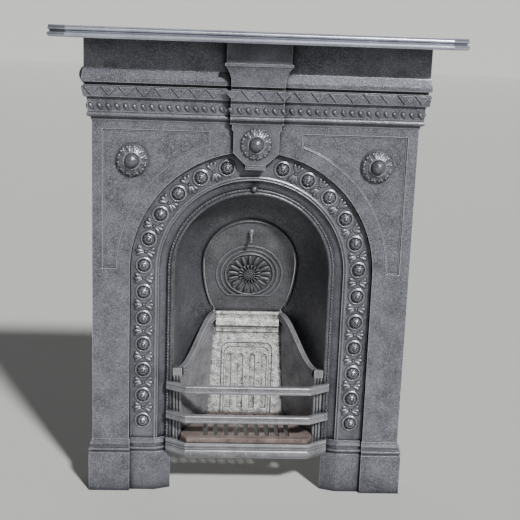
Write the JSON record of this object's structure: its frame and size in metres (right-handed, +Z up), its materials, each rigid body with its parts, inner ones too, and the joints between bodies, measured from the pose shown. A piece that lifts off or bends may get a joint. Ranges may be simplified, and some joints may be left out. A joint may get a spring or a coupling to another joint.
{
  "type": "fireplace surround",
  "caption": "Arched cast-iron fireplace surround with a mantel shelf, studded arch band, round hood, flue door, fireback and canted fire basket.",
  "frame": {"origin": "on the floor, under the middle of the part's bounding box", "axes": "+X along the front to the viewer's right, +Y into the wall, +Z up; the front faces -Y"},
  "size_m": [0.946, 0.303, 1.132],
  "materials": {
    "surround_iron": "blackened cast iron, burnished to a dull grey sheen",
    "hood_iron": "dark cast iron, fine sand-cast skin",
    "door_iron": "dark cast iron with burnished relief",
    "burnt_iron": "pale heat-greyed cast iron, coarse sand-cast skin",
    "basket_iron": "cast iron with burnished edges",
    "grate_iron": "cast iron with a brownish fire-scaled skin"
  },
  "bodies": {
    "frame": {"surround": "surround_iron", "mantel_shelf": "surround_iron", "arch_hood": "hood_iron", "fireback": "burnt_iron", "cheek_left": "basket_iron", "cheek_right": "basket_iron", "upper_bar": "basket_iron", "lower_bar": "basket_iron", "bottom_grate": "grate_iron", "bottom_lip": "basket_iron"},
    "door": {"register_door": "door_iron"}
  },
  "joints": [
    {"name": "door_hinge", "type": "hinge", "parent": "frame", "child": "door", "pos_m": [0, 0.13991, 0.4305], "axis": [-1, 0, 0], "range_deg": [0, 45]}
  ]
}
